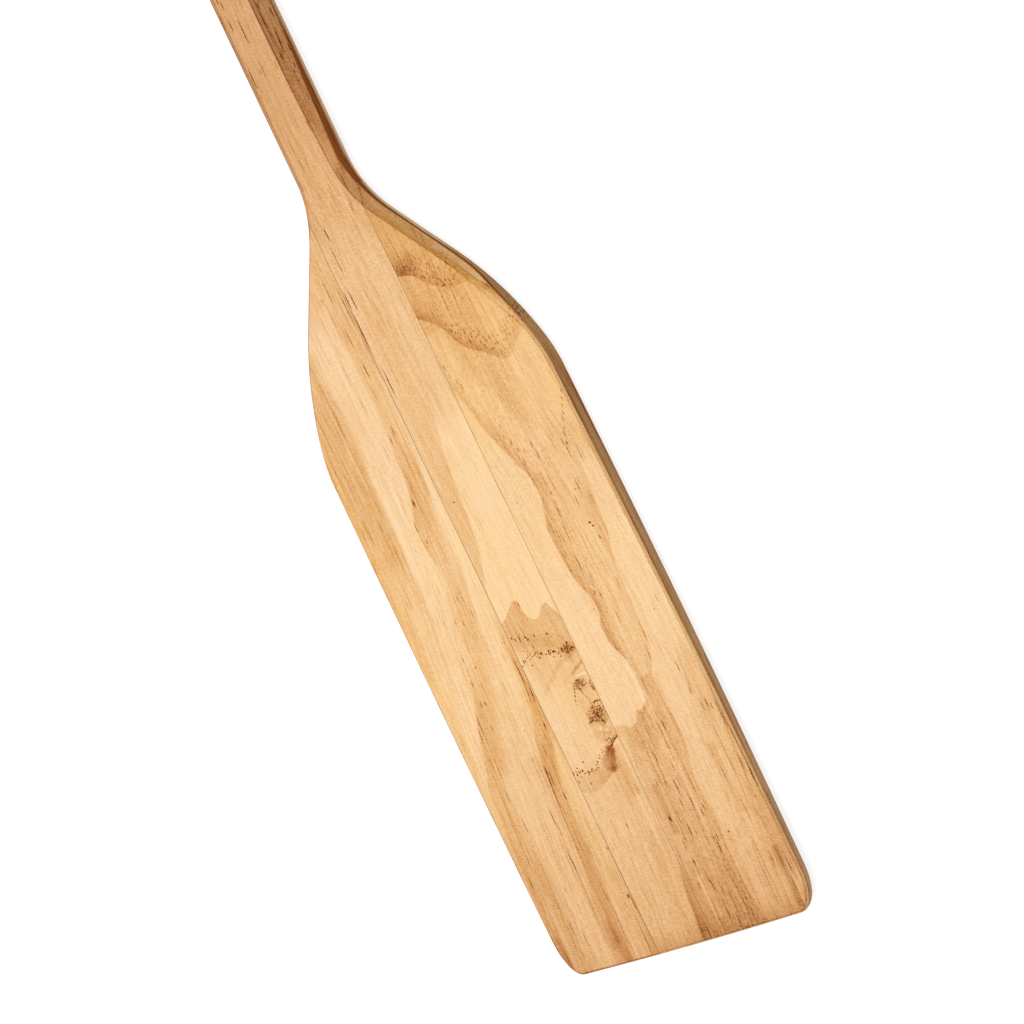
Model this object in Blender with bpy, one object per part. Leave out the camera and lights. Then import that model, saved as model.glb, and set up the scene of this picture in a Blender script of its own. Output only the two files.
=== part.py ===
"""Laminated wooden boat paddle, lying on its back with the blade towards -Y.

One long stave runs from the grip to the blade's tip. Two wings are glued to its edges to widen
the blade, and two small cheeks widen its top end into a palm grip. The five boards are cut to
one common outline, thinned towards the tip and eased along their edges.
"""
from math import acos, cos, hypot, pi, radians, sin

import bmesh
import bpy
from mathutils import Vector

# Lengths along the paddle, in metres
PADDLE_LENGTH = 1.220
BLADE_SIDE_LENGTH = 0.2733

# Half widths of the outline: the blade widens a little towards its tip, more on the right, where it is
# also narrower below the shoulder and more bowed
BLADE_HALF_WIDTH = 0.0698
LEFT_TIP_FLARE = 0.0003
RIGHT_TIP_FLARE = 0.0017
RIGHT_SHOULDER_LOSS = 0.0009
LEFT_SIDE_BOW = 0.0004
RIGHT_SIDE_BOW = 0.0011
SHAFT_HALF_WIDTH = 0.0141
GRIP_HALF_WIDTH = 0.0370

# Stock: the shaft keeps the boards' full thickness, and the stave is wider than the shaft
SHAFT_THICKNESS = 0.0190
STAVE_HALF_WIDTH = 0.0158
GLUE_LINE = 0.0003

# The blade's two faces step in at the neck and taper towards the tip
NECK_STEP = 0.0016
TIP_THICKNESS = 0.0082

# Blade tip: slightly crowned, with long soft corners
TIP_CROWN = 0.0007
TIP_CORNER_WIDTH = 0.0090
TIP_CORNER_LENGTH = 0.0200

# Shoulder: a tight round, a wide one, a straight run and a hollow that ends at the shaft
SHOULDER_CORNER_RADIUS = 0.085
SHOULDER_CORNER_ANGLE = radians(13.5)
SHOULDER_RADIUS = 0.190
NECK_RADIUS = 0.061
SHOULDER_ANGLE = radians(32)

# Grip: a hollow, a flare, rounded corners and a crowned top
GRIP_HOLLOW_RADIUS = 0.030
GRIP_CORNER_RADIUS = 0.0145
GRIP_FLARE_ANGLE = radians(50)
GRIP_CROWN = 0.0045

# Edges of the front face are chamfered, less along the left of the blade than on the right. The
# right-hand chamfer gets shallow first and then narrow where it runs out on the blade. It is shallow
# at the neck as well, and up the shaft it widens and deepens until it meets the rounded back.
BLADE_CHAMFER = 0.0013
LEFT_BLADE_CHAMFER = 0.0008
LEFT_SHOULDER_CHAMFER = 0.0010
LEFT_SHAFT_CHAMFER = 0.0042
RIGHT_SHOULDER_CHAMFER = 0.0042
RIGHT_SHOULDER_DEPTH = 0.0055
RIGHT_SHAFT_CHAMFER = 0.0061
RIGHT_NECK_DEPTH = 0.0022
RIGHT_SHAFT_DEPTH = 0.0090
CHAMFER_WIDENING = 0.045
CHAMFER_DEEPENING = 0.094
CHAMFER_START = 0.024
CHAMFER_RUN_OUT = 0.022
SHALLOW_LENGTH = 0.020
CREASE_ROUND = 0.0006

# Edges of the back face are rounded, and those of the grip on both faces
BLADE_BACK_ROUND = 0.0020
SHOULDER_BACK_ROUND = 0.0045
SHAFT_BACK_ROUND_WIDTH = 0.0080
SHAFT_BACK_ROUND_HEIGHT = 0.0090
GRIP_ROUND = 0.0065

# The two easings of an edge take up at most this share of its thickness
EASING_LIMIT = 0.96

# Board blanks stand this far proud of the outline before it is cut
BLANK_MARGIN = 0.004

# Points along each stretch of the outline, and across each eased edge
SHOULDER_STEPS = 18
NECK_STEPS = 12
CORNER_STEPS = 9
STRAIGHT_STEPS = 5
CHAMFER_STEPS = 3
CREASE_STEPS = 3
ROUND_STEPS = 4

TIP_Y = -PADDLE_LENGTH / 2
TOP_Y = PADDLE_LENGTH / 2


def smooth_step(value, low, high):
    """Rises softly from 0 at low to 1 at high."""
    share = min(max((value - low) / (high - low), 0.0), 1.0)
    return share * share * (3.0 - 2.0 * share)


def mix(first, second, share):
    return first + (second - first) * share


def arc(centre_x, centre_y, radius_x, radius_y, start, end, steps):
    """Points on an elliptical arc, without its first one."""
    points = []
    for step in range(1, steps + 1):
        angle = mix(start, end, step / steps)
        points.append((centre_x + radius_x * cos(angle), centre_y + radius_y * sin(angle)))
    return points


def line(start, end, steps):
    """Points on a straight line, without its first one."""
    points = []
    for step in range(1, steps + 1):
        points.append((mix(start[0], end[0], step / steps), mix(start[1], end[1], step / steps)))
    return points


class Ogee:
    """An S-shaped change of half width: an arc, a straight run and an arc that turns back.

    The first part of the first arc may be tighter than the rest of it.
    """

    def __init__(self, width_change, first_radius, second_radius, angle, corner_radius=0.0,
                 corner_angle=0.0):
        both = first_radius + second_radius
        tighter_by = (first_radius - corner_radius) if corner_angle else 0.0
        arcs_change = width_change + tighter_by * (1.0 - cos(corner_angle))
        if arcs_change < both * (1.0 - cos(angle)):
            angle = acos(1.0 - arcs_change / both)
        self.angle = angle
        self.run = (arcs_change - both * (1.0 - cos(angle))) / sin(angle)
        self.length = both * sin(angle) - tighter_by * sin(corner_angle) + self.run * cos(angle)


def shoulder_ogee(blade_half_width):
    return Ogee(blade_half_width - SHAFT_HALF_WIDTH, SHOULDER_RADIUS, NECK_RADIUS, SHOULDER_ANGLE,
                SHOULDER_CORNER_RADIUS, SHOULDER_CORNER_ANGLE)


shoulder = shoulder_ogee(BLADE_HALF_WIDTH)
flare = Ogee(GRIP_HALF_WIDTH - SHAFT_HALF_WIDTH, GRIP_HOLLOW_RADIUS, GRIP_CORNER_RADIUS,
             GRIP_FLARE_ANGLE)

SHOULDER_Y = TIP_Y + BLADE_SIDE_LENGTH
NECK_Y = SHOULDER_Y + shoulder.length
ROOT_Y = NECK_Y - NECK_RADIUS * sin(shoulder.angle)
GRIP_CORNER_Y = TOP_Y - GRIP_CROWN - GRIP_CORNER_RADIUS
GRIP_BASE_Y = GRIP_CORNER_Y - flare.length
FLARE_END_Y = GRIP_BASE_Y + GRIP_HOLLOW_RADIUS * sin(flare.angle)


def crown(half_width, middle_y, side_y, steps):
    """A shallow curve from the middle line out to half_width, both ends included."""
    points = []
    for step in range(steps + 1):
        share = step / steps
        points.append((half_width * share, mix(middle_y, side_y, share * share)))
    return points


def blade_side(start, end, bow, steps):
    """Points along the blade's long side, slightly bowed, from its tip corner to the shoulder."""
    points = line(start, end, steps)
    return [(x + bow * sin(pi * step / steps), y) for step, (x, y) in enumerate(points, 1)]


def shoulder_round(half_width, start_y, angle):
    """Points on the shoulder's tight round and on the wide one that follows it."""
    points = arc(half_width - SHOULDER_CORNER_RADIUS, start_y, SHOULDER_CORNER_RADIUS,
                 SHOULDER_CORNER_RADIUS, 0.0, SHOULDER_CORNER_ANGLE, SHOULDER_STEPS // 2)
    extra = SHOULDER_RADIUS - SHOULDER_CORNER_RADIUS
    centre_x = half_width - SHOULDER_CORNER_RADIUS - extra * cos(SHOULDER_CORNER_ANGLE)
    centre_y = start_y - extra * sin(SHOULDER_CORNER_ANGLE)
    points += arc(centre_x, centre_y, SHOULDER_RADIUS, SHOULDER_RADIUS, SHOULDER_CORNER_ANGLE,
                  angle, SHOULDER_STEPS)
    return points


def blade_outline(tip_flare, shoulder_loss, bow):
    """Half of the blade's outline, from the middle of the tip to the shaft."""
    tip_half_width = BLADE_HALF_WIDTH + tip_flare
    half_width = BLADE_HALF_WIDTH - shoulder_loss
    ogee = shoulder_ogee(half_width)
    start_y = NECK_Y - ogee.length
    corner_x = tip_half_width - TIP_CORNER_WIDTH
    corner_y = TIP_Y + TIP_CROWN + TIP_CORNER_LENGTH
    points = crown(corner_x, TIP_Y, TIP_Y + TIP_CROWN, STRAIGHT_STEPS)
    points += arc(corner_x, corner_y, TIP_CORNER_WIDTH, TIP_CORNER_LENGTH, -pi / 2, 0.0, CORNER_STEPS)
    points += blade_side(points[-1], (half_width, start_y), bow, 2 * STRAIGHT_STEPS)
    points += shoulder_round(half_width, start_y, ogee.angle)
    hollow_x = SHAFT_HALF_WIDTH + NECK_RADIUS * (1.0 - cos(ogee.angle))
    hollow_y = NECK_Y - NECK_RADIUS * sin(ogee.angle)
    points += line(points[-1], (hollow_x, hollow_y), STRAIGHT_STEPS)
    points += arc(SHAFT_HALF_WIDTH + NECK_RADIUS, NECK_Y, NECK_RADIUS, NECK_RADIUS,
                  pi + ogee.angle, pi, NECK_STEPS)
    return points


def grip_outline():
    """Half of the grip's outline, from the shaft to the middle of its top."""
    points = [(SHAFT_HALF_WIDTH, GRIP_BASE_Y)]
    points += arc(SHAFT_HALF_WIDTH + GRIP_HOLLOW_RADIUS, GRIP_BASE_Y, GRIP_HOLLOW_RADIUS,
                  GRIP_HOLLOW_RADIUS, pi, pi - flare.angle, NECK_STEPS)
    corner_x = GRIP_HALF_WIDTH - GRIP_CORNER_RADIUS
    corner_start = (corner_x + GRIP_CORNER_RADIUS * cos(flare.angle),
                    GRIP_CORNER_Y - GRIP_CORNER_RADIUS * sin(flare.angle))
    points += line(points[-1], corner_start, STRAIGHT_STEPS)
    points += arc(corner_x, GRIP_CORNER_Y, GRIP_CORNER_RADIUS, GRIP_CORNER_RADIUS,
                  -flare.angle, pi / 2, 2 * CORNER_STEPS)
    top = crown(corner_x, TOP_Y, TOP_Y - GRIP_CROWN, STRAIGHT_STEPS)
    points += reversed(top[:-1])
    return points


def half_outline(blade):
    """The outline on one side, from the middle of the tip to the middle of the grip's top."""
    shaft = line(blade[-1], (SHAFT_HALF_WIDTH, NECK_Y + CHAMFER_DEEPENING), STRAIGHT_STEPS)
    shaft += line(shaft[-1], (SHAFT_HALF_WIDTH, GRIP_BASE_Y), STRAIGHT_STEPS)
    return blade + shaft + grip_outline()[1:]


def whole_outline():
    """Closed outline of the paddle, counterclockwise from the middle of the tip."""
    right = half_outline(blade_outline(RIGHT_TIP_FLARE, RIGHT_SHOULDER_LOSS, RIGHT_SIDE_BOW))
    left = half_outline(blade_outline(LEFT_TIP_FLARE, 0.0, LEFT_SIDE_BOW))[1:-1]
    return right + [(-x, y) for x, y in reversed(left)]


def outward_normals(outline):
    """Unit normal of the outline at each of its points."""
    normals = []
    for index in range(len(outline)):
        before = outline[index - 1]
        after = outline[(index + 1) % len(outline)]
        along_x = after[0] - before[0]
        along_y = after[1] - before[1]
        size = hypot(along_x, along_y)
        normals.append((along_y / size, -along_x / size))
    return normals


def face_inset(y):
    """How far each face lies inside the shaft's own face."""
    step = NECK_STEP * (1.0 - smooth_step(y, ROOT_Y, NECK_Y))
    root_thickness = SHAFT_THICKNESS - 2.0 * NECK_STEP
    taper = (root_thickness - TIP_THICKNESS) / 2.0
    share = min(max((ROOT_Y - y) / (ROOT_Y - TIP_Y), 0.0), 1.0)
    return step + taper * share


def front_edge(y, on_right):
    """Width and depth of the front edge's easing, and how round it is, from 0 (flat) to 1."""
    start = SHOULDER_Y + CHAMFER_START
    on_shoulder = smooth_step(y, start, start + CHAMFER_RUN_OUT)
    on_shaft = smooth_step(y, ROOT_Y, NECK_Y)
    if on_right:
        start += SHALLOW_LENGTH
        deepening = smooth_step(y, start, start + CHAMFER_RUN_OUT)
        width = mix(BLADE_CHAMFER, RIGHT_SHOULDER_CHAMFER, on_shoulder)
        width = mix(width, RIGHT_SHAFT_CHAMFER, smooth_step(y, ROOT_Y, NECK_Y + CHAMFER_WIDENING))
        depth = mix(BLADE_CHAMFER, RIGHT_SHOULDER_DEPTH, deepening)
        at_neck = smooth_step(y, NECK_Y - CHAMFER_RUN_OUT, NECK_Y)
        depth = mix(depth, RIGHT_NECK_DEPTH, at_neck)
        depth = mix(depth, RIGHT_SHAFT_DEPTH, smooth_step(y, NECK_Y, NECK_Y + CHAMFER_DEEPENING))
    else:
        past_corner = smooth_step(y, TIP_Y, TIP_Y + 2.0 * TIP_CORNER_LENGTH)
        width = mix(BLADE_CHAMFER, LEFT_BLADE_CHAMFER, past_corner)
        width = mix(width, LEFT_SHOULDER_CHAMFER, on_shoulder)
        width = mix(width, LEFT_SHAFT_CHAMFER, on_shaft)
        depth = width
    on_grip = smooth_step(y, GRIP_BASE_Y, FLARE_END_Y)
    return mix(width, GRIP_ROUND, on_grip), mix(depth, GRIP_ROUND, on_grip), on_grip


def back_edge(y):
    """Width and height of the back edge's rounding."""
    on_shoulder = smooth_step(y, SHOULDER_Y, ROOT_Y)
    on_shaft = smooth_step(y, ROOT_Y, NECK_Y)
    on_grip = smooth_step(y, GRIP_BASE_Y, FLARE_END_Y)
    blade_round = mix(BLADE_BACK_ROUND, SHOULDER_BACK_ROUND, on_shoulder)
    width = mix(mix(blade_round, SHAFT_BACK_ROUND_WIDTH, on_shaft), GRIP_ROUND, on_grip)
    height = mix(mix(blade_round, SHAFT_BACK_ROUND_HEIGHT, on_shaft), GRIP_ROUND, on_grip)
    return width, height


def rounded_corner(before, corner, after):
    """Points on the small curve that eases a corner of the section."""
    start = corner.lerp(before, min(CREASE_ROUND / (before - corner).length, 0.5))
    end = corner.lerp(after, min(CREASE_ROUND / (after - corner).length, 0.5))
    points = []
    for step in range(CREASE_STEPS + 1):
        share = step / CREASE_STEPS
        points.append(start.lerp(corner, share).lerp(corner.lerp(end, share), share))
    return points


def edge_section(y, on_right):
    """Section of the paddle's edge from front to back, as inset and depth below the front face."""
    thickness = SHAFT_THICKNESS - 2.0 * face_inset(y)
    front_width, front_depth, roundness = front_edge(y, on_right)
    back_width, back_height = back_edge(y)
    fit = min(1.0, EASING_LIMIT * thickness / (front_depth + back_height))
    front_depth, back_height = front_depth * fit, back_height * fit
    front = []
    for step in range(CHAMFER_STEPS + 1):
        share = step / CHAMFER_STEPS
        angle = share * pi / 2
        front.append(Vector((front_width * mix(1.0 - share, 1.0 - sin(angle), roundness),
                             front_depth * mix(share, 1.0 - cos(angle), roundness))))
    back = []
    for step in range(ROUND_STEPS + 1):
        angle = step / ROUND_STEPS * pi / 2
        back.append(Vector((back_width * (1.0 - cos(angle)),
                            thickness - back_height * (1.0 - sin(angle)))))
    on_face = front[0] + Vector((front_width, 0.0))
    upper_crease = rounded_corner(on_face, front[0], front[1])
    lower_crease = rounded_corner(front[-2], front[-1], back[0])
    return upper_crease + front[1:-1] + lower_crease + back


def make_paddle_form():
    """The paddle's outer form in one closed mesh: the shape that every board is cut to."""
    outline = whole_outline()
    normals = outward_normals(outline)
    count = len(outline)
    mesh = bmesh.new()
    columns = []
    for (x, y), (normal_x, normal_y) in zip(outline, normals):
        column = []
        for inset, depth in edge_section(y, x >= 0.0):
            point_y = y - normal_y * inset
            height = SHAFT_THICKNESS - face_inset(y) - depth
            column.append(mesh.verts.new((x - normal_x * inset, point_y, height)))
        columns.append(column)
    for index in range(count):
        column = columns[index]
        following = columns[(index + 1) % count]
        for level in range(len(column) - 1):
            mesh.faces.new((column[level], column[level + 1], following[level + 1], following[level]))
    fill_across(mesh, [column[0] for column in columns])
    fill_across(mesh, [column[-1] for column in reversed(columns)])
    mesh.normal_update()
    form = finish_object("paddle_form", mesh)
    form.hide_render = True
    form.display_type = "WIRE"
    return form


def fill_across(mesh, ring):
    """Closes a ring with strips that run across it, between points at the same height up it."""
    low = min(range(len(ring)), key=lambda index: ring[index].co.y)
    ring = ring[low:] + ring[:low]
    right, left = 1, len(ring) - 1
    mesh.faces.new((ring[0], ring[right], ring[left]))
    while left - right > 2:
        mesh.faces.new((ring[right], ring[right + 1], ring[left - 1], ring[left]))
        right += 1
        left -= 1
    mesh.faces.new((ring[right], ring[right + 1], ring[left]))


def finish_object(name, mesh):
    """Turns a bmesh into a linked object that is smooth except along its creases."""
    data = bpy.data.meshes.new(name)
    mesh.to_mesh(data)
    mesh.free()
    data.shade_smooth()
    data.set_sharp_from_angle(angle=radians(25))
    item = bpy.data.objects.new(name, data)
    bpy.context.collection.objects.link(item)
    return item


def make_board(name, low_x, high_x, low_y, high_y):
    """A square-edged board blank, thicker than the paddle."""
    mesh = bmesh.new()
    bmesh.ops.create_cube(mesh, size=1.0)
    low_z, high_z = -BLANK_MARGIN, SHAFT_THICKNESS + BLANK_MARGIN
    for vertex in mesh.verts:
        vertex.co.x = mix(low_x, high_x, vertex.co.x + 0.5)
        vertex.co.y = mix(low_y, high_y, vertex.co.y + 0.5)
        vertex.co.z = mix(low_z, high_z, vertex.co.z + 0.5)
    return finish_object(name, mesh)


def cut_to_form(board, form):
    cut = board.modifiers.new("cut_to_outline", "BOOLEAN")
    cut.operation = "INTERSECT"
    cut.solver = "EXACT"
    cut.object = form


def wood_material(name, colour, roughness):
    material = bpy.data.materials.new(name)
    material.use_nodes = True
    shader = material.node_tree.nodes["Principled BSDF"]
    shader.inputs["Base Color"].default_value = (*colour, 1.0)
    shader.inputs["Roughness"].default_value = roughness
    shader.inputs["Metallic"].default_value = 0.0
    material.diffuse_color = (*colour, 1.0)
    return material


def make_pair(name, form, outer_x, low_y, high_y, colour):
    """The left and right boards glued to the stave's edges over one stretch of its length."""
    glue_x = STAVE_HALF_WIDTH + GLUE_LINE / 2
    for side_name, side in (("left", -1), ("right", 1)):
        near, far = side * glue_x, side * outer_x
        board = make_board(f"{side_name}_{name}", min(near, far), max(near, far), low_y, high_y)
        board.data.materials.append(wood_material(f"{side_name}_{name}_wood", colour, 0.42))
        cut_to_form(board, form)


def build_paddle():
    form = make_paddle_form()

    stave_x = STAVE_HALF_WIDTH - GLUE_LINE / 2
    stave = make_board("shaft_stave", -stave_x, stave_x, TIP_Y - BLANK_MARGIN, TOP_Y + BLANK_MARGIN)
    stave.data.materials.append(wood_material("shaft_stave_wood", (0.67, 0.41, 0.19), 0.40))
    cut_to_form(stave, form)

    widest_x = BLADE_HALF_WIDTH + RIGHT_TIP_FLARE + RIGHT_SIDE_BOW
    make_pair("blade_wing", form, widest_x + BLANK_MARGIN, TIP_Y - BLANK_MARGIN, NECK_Y,
              (0.75, 0.49, 0.24))
    make_pair("grip_cheek", form, GRIP_HALF_WIDTH + BLANK_MARGIN, GRIP_BASE_Y,
              TOP_Y + BLANK_MARGIN, (0.70, 0.44, 0.20))


for leftover in list(bpy.data.objects):
    bpy.data.objects.remove(leftover, do_unlink=True)

build_paddle()
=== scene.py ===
"""Looks of a laminated wooden boat paddle: figured pine boards under a clear satin varnish."""
from math import cos, radians, sin

import bmesh
import bpy
from mathutils import Matrix, Vector


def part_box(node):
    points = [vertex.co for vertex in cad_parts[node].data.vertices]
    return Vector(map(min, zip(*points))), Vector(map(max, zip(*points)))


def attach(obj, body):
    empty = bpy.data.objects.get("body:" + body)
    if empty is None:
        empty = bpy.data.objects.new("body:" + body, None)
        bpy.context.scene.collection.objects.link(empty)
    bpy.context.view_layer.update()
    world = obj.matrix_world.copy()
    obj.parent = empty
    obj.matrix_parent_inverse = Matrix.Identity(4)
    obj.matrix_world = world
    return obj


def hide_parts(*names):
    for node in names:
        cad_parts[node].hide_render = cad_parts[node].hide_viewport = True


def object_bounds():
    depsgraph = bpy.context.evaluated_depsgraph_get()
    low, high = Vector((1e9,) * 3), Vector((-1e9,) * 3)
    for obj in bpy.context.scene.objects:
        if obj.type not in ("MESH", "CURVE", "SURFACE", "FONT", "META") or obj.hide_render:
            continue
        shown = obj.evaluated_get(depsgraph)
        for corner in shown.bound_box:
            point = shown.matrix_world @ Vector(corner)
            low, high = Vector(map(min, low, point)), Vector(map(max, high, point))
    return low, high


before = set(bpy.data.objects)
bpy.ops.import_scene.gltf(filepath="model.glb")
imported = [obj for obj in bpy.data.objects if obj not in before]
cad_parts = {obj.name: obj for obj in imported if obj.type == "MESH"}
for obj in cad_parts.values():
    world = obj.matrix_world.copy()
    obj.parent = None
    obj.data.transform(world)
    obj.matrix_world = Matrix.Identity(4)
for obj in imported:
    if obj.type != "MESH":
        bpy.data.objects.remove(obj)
cad_low, cad_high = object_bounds()

MM = 0.001

# Camera: it looks down on the blade's front face from the right, and is turned about its own axis
CAMERA_AIM = Vector((0.0, -0.3847, 0.01585))
CAMERA_DISTANCE = 0.732
CAMERA_SIDE_ANGLE = radians(28.9)
CAMERA_PITCH = radians(0.57)
CAMERA_ROLL = radians(25.655)
CAMERA_OFFSET = 0.0145
FOCAL_LENGTH = 53.54
SENSOR_WIDTH = 36.0
NEAR_LIMIT = 0.01

# Light: one large softbox overhead, in a white surround over a pale floor
SOFTBOX_SIZE = 1.0
SOFTBOX_HEIGHT = 1.9
SOFTBOX_WATTS = 33.8
AMBIENT_STRENGTH = 0.12
FLOOR_SIZE = 6.0
FLOOR_DROP = 0.0002
FLOOR_GREY = 0.78
FLOOR_GREY_IN_VIEW = 0.25
FLOOR_GLOW_IN_VIEW = 0.87

# Boards: how their meshes are cleaned, and the glue film that fills the gap beside the stave
WELD_DISTANCE = 0.00001
FLAT_ANGLE = radians(0.05)
SHARP_ANGLE = radians(32)
GLUE_GAP = 0.0003
FILM_INSET = 0.00004
FILM_THICKNESS = 0.00026

# The front face in mm: it steps down along the neck, from the shaft to the blade, and tapers to the tip
TIP_Y = cad_low.y / MM
SHAFT_FACE = cad_high.z / MM
NECK_Y = -195.2
ROOT_Y = -227.5
NECK_STEP = 1.6
TIP_TAPER = 3.8

# Growth rings lean over through the board's thickness, by this much across for each mm of depth
RING_LEAN = 0.45

# Slopes: the height of the surface's normal at the edge of each kind of surface, and where it is full
ARRIS_START = (0.995, 0.975)
CHAMFER_START = (0.96, 0.85)
FACET_END = (0.55, 0.65)
CREASE_START = (0.55, 0.45)
CREASE_END = (0.05, 0.20)
SIDE_START = (0.45, 0.20)
SIDE_END = (-0.25, -0.05)
BACK_EDGE_START = (-0.05, -0.30)
BACK_START = (-0.75, -0.95)

# Noise in the pine and the glue: the size of its lumps in mm, across, along and through the board
FRAY_SIZE = (0.9, 26, 0.9)
CRUMB_SIZE = (1.2, 1.2, 1.2)
WAVE_SIZE = (38, 95, 30)
FIBRE_SIZE = (0.58, 15, 0.65)
THREAD_SIZE = (0.55, 60, 0.6)
STREAK_SIZE = (1.7, 60, 1.6)
BAND_SIZE = (6.5, 170, 5)
SPECK_SIZE = (0.5, 0.6, 0.5)
RIPPLE_SIZE = (2.6, 0.75, 3)
SCRAPE_SIZE = (1, 45, 0.75)
SIDE_SHADE_FIBRE_SIZE = (1, 22, 0.9)
DUCT_CELL = (2.2, 34)
DUCT_STRETCH_SIZE = (7, 45, 7)
END_RING_SIZE = (1.1, 1, 1)
HUE_SIZE = (9, 70, 9)
GLINT_SIZE = (1.3, 4, 1.3)
GLUE_FADE_SIZE = (2, 26, 2)

# A seed shifts its noise by this much along each axis
SEED_SHIFT = (1.0, 3.7, 7.9)

# Shares of a spot's size at which it starts to fade and has faded away
SPOT_CORE = 0.35
SPOT_RIM = 1.15

# Sockets of a colour Mix node: its share and its two colours, and its result
MIX_INPUTS = (0, 6, 7)
MIX_RESULT = 2

# A colour's warmth: how much of its green and blue a warmth of 1 takes away
WARM_GREEN = 0.03
WARM_BLUE = 0.16

# Varnish: its reflections lift each colour by about this much, so the wood below is darker by it
VARNISH_LIFT = 0.004
COAT_WEIGHT = 0.04
COAT_ROUGHNESS = 0.25

# The wood and the glue below the varnish
WOOD_ROUGHNESS = 0.46
WOOD_SPECULAR = 0.02
BUMP_STRENGTH = 0.6
BUMP_DEPTH = 0.00007
GLUE_ROUGHNESS = 0.40

# Pine from its palest sapwood to a resin streak, as 8-bit screen colours
PINE_RAMP = (
    (0.00, (254, 220, 174)),
    (0.15, (250, 211, 161)),
    (0.30, (244, 200, 147)),
    (0.45, (236, 187, 131)),
    (0.60, (225, 171, 112)),
    (0.75, (208, 149, 92)),
    (0.88, (176, 113, 64)),
    (1.00, (112, 62, 31)),
)
# Painted shade for the upright sides, and the darker fibres in it
SIDE_SHADE_PAINT = (172, 92, 14)
SIDE_SHADE_FIBRE = (92, 42, 6)
KNOT_RED = (172, 98, 54)
DARK_GLUE = (104, 66, 34)
PALE_GLUE = (150, 104, 58)
FADED_GLUE = (196, 146, 92)


def linear(colour, lift=0.0):
    """The linear colour of an 8-bit screen colour, less a lift that something else gives it."""
    parts = [part / 255 for part in colour]
    # The curve of the sRGB standard
    parts = [part / 12.92 if part < 0.04045 else ((part + 0.055) / 1.055) ** 2.4 for part in parts]
    return tuple(max(part - lift, 0.0) for part in parts) + (1.0,)


class Term:
    """A number that varies over a surface. Arithmetic on it adds Math nodes to its node tree."""

    def __init__(self, graph, socket):
        self.graph = graph
        self.socket = socket

    def __add__(self, other):
        return self.graph.math("ADD", self, other)

    def __sub__(self, other):
        return self.graph.math("SUBTRACT", self, other)

    def __rsub__(self, other):
        return self.graph.math("SUBTRACT", other, self)

    def __mul__(self, other):
        return self.graph.math("MULTIPLY", self, other)

    def __abs__(self):
        return self.graph.math("ABSOLUTE", self)

    __radd__ = __add__
    __rmul__ = __mul__


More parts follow.
